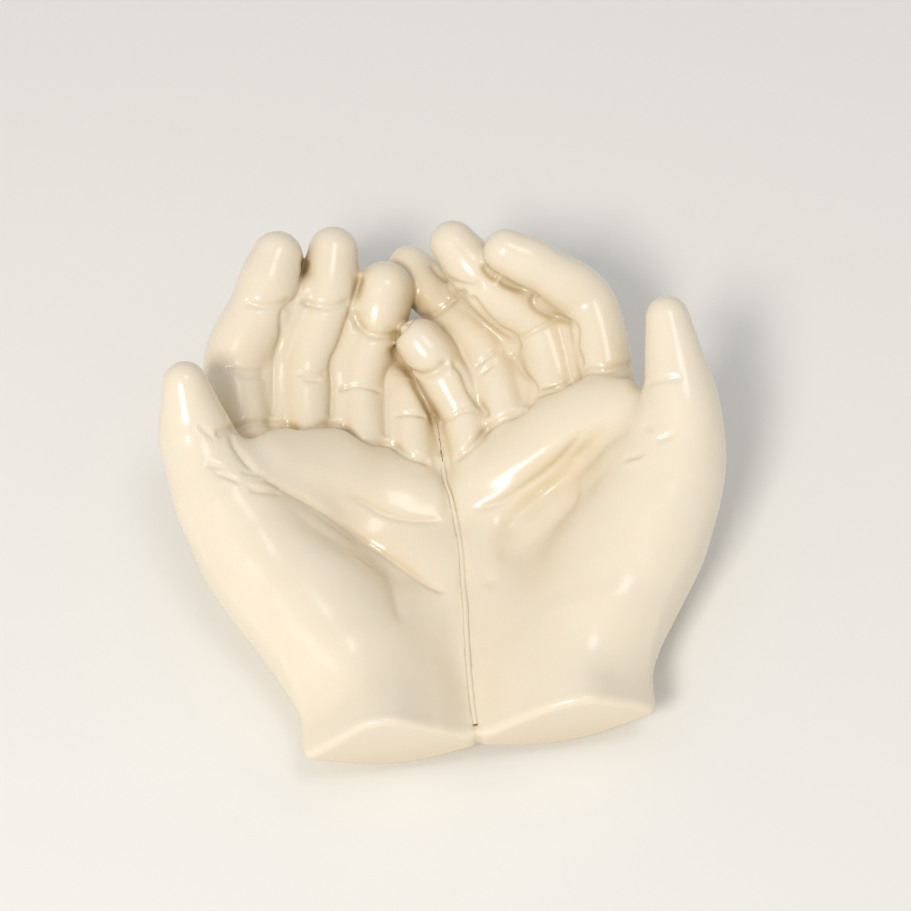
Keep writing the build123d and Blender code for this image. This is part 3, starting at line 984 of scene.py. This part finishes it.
# Painted shade: the body colour darkens towards #D9C6A2 where the bowl hides the sky within 45 mm.
bowl_shade_ao = add(tree, "ShaderNodeAmbientOcclusion", {"samples": 6, "Distance": BOWL_SHADE_REACH * MM})
depth = add(tree, "ShaderNodeMapRange", {"From Min": 0.35, "From Max": 0.9}, {"Value": bowl_shade_ao.outputs["AO"]})
bowl_shaded = add(tree, "ShaderNodeMix", {"data_type": "RGBA", FIRST_COLOUR: linear("#D9C6A2")}, {
    "Factor": depth.outputs["Result"], SECOND_COLOUR: body.outputs[MIXED_COLOUR],
})
# Browner creases: pooled glaze and painted shade, darkened towards #B39A6E where a crease hides the sky
# within 4.5 mm.
crease_shade_ao = add(tree, "ShaderNodeAmbientOcclusion", {"samples": 6, "Distance": POOL_AND_SHADE_REACH * MM})
pooling_and_shade = add(tree, "ShaderNodeMapRange", {"From Min": 0.25, "From Max": 0.85}, {
    "Value": crease_shade_ao.outputs["AO"],
})
pooled_and_shaded = add(tree, "ShaderNodeMix", {"data_type": "RGBA", FIRST_COLOUR: linear("#B39A6E")}, {
    "Factor": pooling_and_shade.outputs["Result"], SECOND_COLOUR: bowl_shaded.outputs[MIXED_COLOUR],
})
ripple = add(tree, "ShaderNodeTexNoise", {"Scale": 1 / (RIPPLE * MM), "Detail": 1.0}, {
    "Vector": place.outputs["Object"],
})
bump = add(tree, "ShaderNodeBump", {"Strength": 0.05, "Distance": RIPPLE_HEIGHT * MM}, {
    "Height": ripple.outputs["Fac"],
})
shader = add(tree, "ShaderNodeBsdfPrincipled", {
    "Roughness": 0.2, "IOR": 1.52, "Subsurface Weight": 0.12, "Subsurface Scale": GLOW_DEPTH * MM,
}, {"Base Color": pooled_and_shaded.outputs[MIXED_COLOUR], "Normal": bump.outputs["Normal"]})
add(tree, "ShaderNodeOutputMaterial", links={"Surface": shader.outputs["BSDF"]})
print(glaze.name, "has", len(tree.nodes), "nodes")

# %% Pressed wool felt
# It has no shine at all, only a pale sheen at grazing angles, where the ends of fibres catch light.
felt, tree = new_material("wool_felt")
shader = add(tree, "ShaderNodeBsdfPrincipled", {
    "Base Color": linear("#B8AE99"), "Roughness": 0.95, "Sheen Weight": 0.4,
})
add(tree, "ShaderNodeOutputMaterial", links={"Surface": shader.outputs["BSDF"]})
print(felt.name, "has", len(tree.nodes), "nodes")

# %% [markdown]
# ## The slip between the hands
# The hands are stuck together with slip, clay as thin as cream. What is squeezed out is wiped to
# a fine bead, which the glaze rounds. Its line isn't straight, because each hand was trimmed by
# eye. It follows a path, so Geometry Nodes draw it: the path gets one profile, a strip that is
# deeper than it is wide, with its top rounded.

# %% The line of the bead
# The bead lies on the skin of the hands, smoothed over five places, and sinks a little where the
# palms rise to the fingers.
SLIP_END, SLIP_PLACES = 112.5, 70
TOP_ALONG, TOP_LIMITS = [0, 90, 124], [24.0, 25.0, 27.0]
SMOOTH_OVER = 5
SUNK, SUNK_ALONG = 0.1, [40, 62]


def top_of_skin(x, y):
    """The height of the upper skin over a place on the table."""
    z = clay.axes[2].astype(float)[::-1]
    column = skin(np.column_stack([np.full(len(z), x), np.full(len(z), y), z]))
    first = int(np.argmax(column < 0))
    return z[first] + STEP * column[first] / (column[first] - column[first - 1])


ways = np.linspace(SLAB + 0.2, SLIP_END, SLIP_PLACES)
tops = np.array([top_of_skin(seam_x(y), y) for y in ways])
tops = np.minimum(tops, np.interp(ways, TOP_ALONG, TOP_LIMITS))
tops = np.convolve(np.pad(tops, SMOOTH_OVER // 2, "edge"), np.ones(SMOOTH_OVER) / SMOOTH_OVER, "valid")
tops -= np.interp(ways, SUNK_ALONG, [0.0, SUNK])
path = np.column_stack([[seam_x(y) for y in ways], ways, tops])
print("slip runs from", path[0].round(1), "to", path[-1].round(1))


# %% Nodes that sweep a strip along a line
FILLET_SHARE, FILLET_COUNT = 0.46, 5


def strip_nodes(material):
    """Geometry Nodes that sweep a rounded strip along the piece's own line."""
    tree = bpy.data.node_groups.new("slip strip", "GeometryNodeTree")
    tree.interface.new_socket("Line", in_out="INPUT", socket_type="NodeSocketGeometry")
    for label in ("Width", "Depth", "Proud"):
        tree.interface.new_socket(label, in_out="INPUT", socket_type="NodeSocketFloat")
    tree.interface.new_socket("Strip", in_out="OUTPUT", socket_type="NodeSocketGeometry")
    given = add(tree, "NodeGroupInput")
    line = add(tree, "GeometryNodeMeshToCurve", links={"Mesh": given.outputs["Line"]})
    level = add(tree, "GeometryNodeSetCurveNormal", {"mode": "Z_UP"}, {"Curve": line.outputs["Curve"]})
    box = add(tree, "GeometryNodeCurvePrimitiveQuadrilateral", links={
        "Width": given.outputs["Width"], "Height": given.outputs["Depth"],
    })
    radius = add(tree, "ShaderNodeMath", {"operation": "MULTIPLY", 1: FILLET_SHARE}, {
        0: given.outputs["Width"],
    })
    fillet = add(tree, "GeometryNodeFilletCurve", {"mode": "POLY", "Count": FILLET_COUNT}, {
        "Curve": box.outputs["Curve"], "Radius": radius.outputs[0],
    })
    half = add(tree, "ShaderNodeMath", {"operation": "MULTIPLY", 1: 0.5}, {0: given.outputs["Depth"]})
    drop = add(tree, "ShaderNodeMath", {"operation": "SUBTRACT"}, {
        0: half.outputs[0], 1: given.outputs["Proud"],
    })
    offset = add(tree, "ShaderNodeCombineXYZ", links={"Y": drop.outputs[0]})
    profile = add(tree, "GeometryNodeTransform", links={
        "Geometry": fillet.outputs["Curve"], "Translation": offset.outputs["Vector"],
    })
    sweep = add(tree, "GeometryNodeCurveToMesh", {"Fill Caps": True}, {
        "Curve": level.outputs["Curve"], "Profile Curve": profile.outputs["Geometry"],
    })
    smooth = add(tree, "GeometryNodeSetShadeSmooth", links={"Geometry": sweep.outputs["Mesh"]})
    real = add(tree, "GeometryNodeRealizeInstances", links={"Geometry": smooth.outputs["Geometry"]})
    glazed = add(tree, "GeometryNodeSetMaterial", {"Material": material}, {
        "Geometry": real.outputs["Geometry"],
    })
    add(tree, "NodeGroupOutput", links={"Strip": glazed.outputs["Geometry"]})
    return tree


def grow(name, places, edges, tree, values, faces=()):
    """A piece that Geometry Nodes make from places, edges and faces, as a plain mesh."""
    mesh = bpy.data.meshes.new(name + "_line")
    mesh.from_pydata([tuple(place) for place in places], edges, list(faces))
    seed = bpy.data.objects.new(name + "_line", mesh)
    bpy.context.scene.collection.objects.link(seed)
    modifier = seed.modifiers.new("grow", "NODES")
    modifier.node_group = tree
    for item in tree.interface.items_tree:
        if item.in_out == "INPUT" and item.name in values:
            modifier[item.identifier] = values[item.name]
    view = bpy.context.evaluated_depsgraph_get()
    piece = bpy.data.objects.new(name, bpy.data.meshes.new_from_object(seed.evaluated_get(view)))
    bpy.context.scene.collection.objects.link(piece)
    bpy.data.objects.remove(seed)
    return piece


print("the top of the strip is rounded in", FILLET_COUNT, "steps on each side")

# %% The bead of slip
SLIP_DEPTH, SLIP_BEAD, PROUD = 11.0, 2.4, 0.45
steps = [(i, i + 1) for i in range(len(path) - 1)]
slip = grow("slip_bead_glazed", (path + SHIFT) * MM, steps, strip_nodes(glaze), {
    "Width": SLIP_BEAD * MM, "Depth": SLIP_DEPTH * MM, "Proud": PROUD * MM,
})
low = np.min([v.co for v in slip.data.vertices], axis=0) / MM
high = np.max([v.co for v in slip.data.vertices], axis=0) / MM
print("slip", low.round(1), high.round(1), len(slip.data.polygons), "faces")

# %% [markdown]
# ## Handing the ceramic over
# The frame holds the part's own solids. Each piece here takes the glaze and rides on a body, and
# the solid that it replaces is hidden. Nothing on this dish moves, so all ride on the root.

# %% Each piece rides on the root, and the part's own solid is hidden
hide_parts("slip_joint")
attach(slip, "root")
for piece in (left_hand, right_hand, slab):
    piece.data.materials.append(glaze)
    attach(piece, "root")
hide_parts("left_hand")
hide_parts("right_hand")
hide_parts("wrist_end_slab")
print("the four ceramic pieces are", [piece.name for piece in (slip, left_hand, right_hand, slab)])

# %% [markdown]
# ## Felt pads
# Glaze on a table top scratches, so such a dish stands on four discs of pressed wool felt. Felt
# has no weave: its edge is a fuzz of short fibres that stand out every way. The disc is a turned
# profile with a soft edge, and Geometry Nodes plant the fibres on it.

# %% Nodes that plant fibres
# A fibre is a cone of three sides, because there are thousands, and it leans up to 0.9 radians.
LEAN = 0.9


def fibre_nodes(material):
    """Geometry Nodes that plant short leaning fibres on a disc."""
    tree = bpy.data.node_groups.new("felt fibres", "GeometryNodeTree")
    tree.interface.new_socket("Disc", in_out="INPUT", socket_type="NodeSocketGeometry")
    for label in ("Density", "Length", "Thickness"):
        tree.interface.new_socket(label, in_out="INPUT", socket_type="NodeSocketFloat")
    tree.interface.new_socket("Felt", in_out="OUTPUT", socket_type="NodeSocketGeometry")
    given = add(tree, "NodeGroupInput")
    planted = add(tree, "GeometryNodeDistributePointsOnFaces", {"Seed": 4}, {
        "Mesh": given.outputs["Disc"], "Density": given.outputs["Density"],
    })
    fibre = add(tree, "GeometryNodeMeshCone", {"Vertices": 3, "Side Segments": 1}, {
        "Depth": given.outputs["Length"], "Radius Bottom": given.outputs["Thickness"],
    })
    lean = add(tree, "FunctionNodeRandomValue", {
        "data_type": "FLOAT_VECTOR", "Seed": 9, 0: (-LEAN, -LEAN, 0), 1: (LEAN, LEAN, 6.28),
    })
    turned = add(tree, "FunctionNodeRotateEuler", {"rotation_type": "EULER", "space": "LOCAL"}, {
        "Rotation": planted.outputs["Rotation"], "Rotate By": lean.outputs[0],
    })
    standing = add(tree, "GeometryNodeInstanceOnPoints", links={
        "Points": planted.outputs["Points"], "Instance": fibre.outputs["Mesh"],
        "Rotation": turned.outputs["Rotation"],
    })
    joined = add(tree, "GeometryNodeJoinGeometry")
    tree.links.new(standing.outputs["Instances"], joined.inputs["Geometry"])
    tree.links.new(given.outputs["Disc"], joined.inputs["Geometry"])
    real = add(tree, "GeometryNodeRealizeInstances", links={"Geometry": joined.outputs["Geometry"]})
    woolly = add(tree, "GeometryNodeSetMaterial", {"Material": material}, {
        "Geometry": real.outputs["Geometry"],
    })
    add(tree, "NodeGroupOutput", links={"Felt": woolly.outputs["Geometry"]})
    return tree


print("each fibre leans up to", round(math.degrees(LEAN)), "degrees")

# %% Discs with a soft edge
AROUND = 72
EDGE_SHARE, ROUND_SHARE = 0.2, 0.3


def disc_of_felt(low, high):
    """Vertices and faces of a disc with a soft edge that fills a box."""
    middle, radius, tall = (low + high) / 2, (high.x - low.x) / 2, high.z - low.z
    soft = tall * EDGE_SHARE
    inset = soft * ROUND_SHARE
    profile = [(radius - soft, 0), (radius - inset, inset), (radius, soft)]
    profile += [(r, tall - up_by) for r, up_by in profile[::-1]]
    count = len(profile)
    places, faces = [], []
    for k in range(AROUND):
        angle = 2 * math.pi * k / AROUND
        for r, up_by in profile:
            places.append((middle.x + r * math.cos(angle), middle.y + r * math.sin(angle), low.z + up_by))
        here, after = k * count, (k + 1) % AROUND * count
        for j in range(count - 1):
            faces.append((here + j, after + j, after + j + 1, here + j + 1))
    faces.append([k * count for k in range(AROUND)][::-1])
    faces.append([k * count + count - 1 for k in range(AROUND)])
    return places, faces


print("a disc has", AROUND, "steps around")

# %% The four felt pads
FIBRE, FIBRE_WIDTH, FIBRES_PER_MM2 = 0.9, 0.035, 6.0
fibres = fibre_nodes(felt)
for name in [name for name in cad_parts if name.startswith("felt")]:
    places, faces = disc_of_felt(*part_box(name))
    disc = grow(name + "_wool", places, [], fibres, {
        "Density": FIBRES_PER_MM2 / MM**2, "Length": FIBRE * MM, "Thickness": FIBRE_WIDTH * MM,
    }, faces)
    for vertex in disc.data.vertices:
        vertex.co.z = min(max(vertex.co.z, 0), FOOT * MM)
    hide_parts(name)
    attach(disc, "root")
    print(disc.name, len(disc.data.polygons), "faces")
for name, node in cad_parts.items():
    node.data.materials.clear()
    node.data.materials.append(felt if name.startswith("felt") else glaze)

# %% [markdown]
# ## Floor and light
# A glossy pale piece is lit softly, or its highlights burn out. One square lamp stands in for a
# window, to the left in front, and gives the long highlights on the fingers and on the balls of
# the thumbs. A weak one overhead keeps the bowl open, and an even white sky fills the rest. The
# floor is pale card, so that the shadow under the hands shows.

# %% Floor
FLOOR_SIDE = 6.0
floor_mesh = bpy.data.meshes.new("floor")
corners = [(-1, -1), (1, -1), (1, 1), (-1, 1)]
floor_mesh.from_pydata([(FLOOR_SIDE * x, FLOOR_SIDE * y, 0) for x, y in corners], [], [(0, 1, 2, 3)])
floor = bpy.data.objects.new("floor", floor_mesh)
bpy.context.scene.collection.objects.link(floor)
card, tree = new_material("pale_floor")
matte = add(tree, "ShaderNodeBsdfPrincipled", {"Base Color": linear("#F2F1EE"), "Roughness": 0.9})
add(tree, "ShaderNodeOutputMaterial", links={"Surface": matte.outputs["BSDF"]})
floor_mesh.materials.append(card)
print("the floor is", 2 * FLOOR_SIDE, "m wide")

# %% Lamps and sky
DISH = (0, 0, 0.03)
SKY = 0.47


def add_lamp(name, place, size, power, colour):
    """A square soft lamp that faces the dish. Its place and size are in metres."""
    data = bpy.data.lights.new(name, "AREA")
    data.shape, data.size, data.energy, data.color = "SQUARE", size, power, linear(colour)[:3]
    lamp = bpy.data.objects.new(name, data)
    lamp.location = place
    lamp.rotation_mode = "QUATERNION"
    lamp.rotation_quaternion = (Vector(DISH) - Vector(place)).to_track_quat("-Z", "Y")
    bpy.context.scene.collection.objects.link(lamp)


add_lamp("window", (-0.6, -0.9, 1.3), 0.45, 14.5, "#FFF9F0")
add_lamp("ceiling", (0.5, -0.2, 1.8), 0.5, 3.5, "#FFFFFF")
world = bpy.data.worlds.new("studio")
bpy.context.scene.world = world
world.use_nodes = True
sky = world.node_tree.nodes["Background"]
sky.inputs["Color"].default_value = linear("#FFFFFF")
sky.inputs["Strength"].default_value = SKY
bpy.context.scene.view_settings.view_transform = "Standard"
print("two lamps, and a sky of strength", SKY)
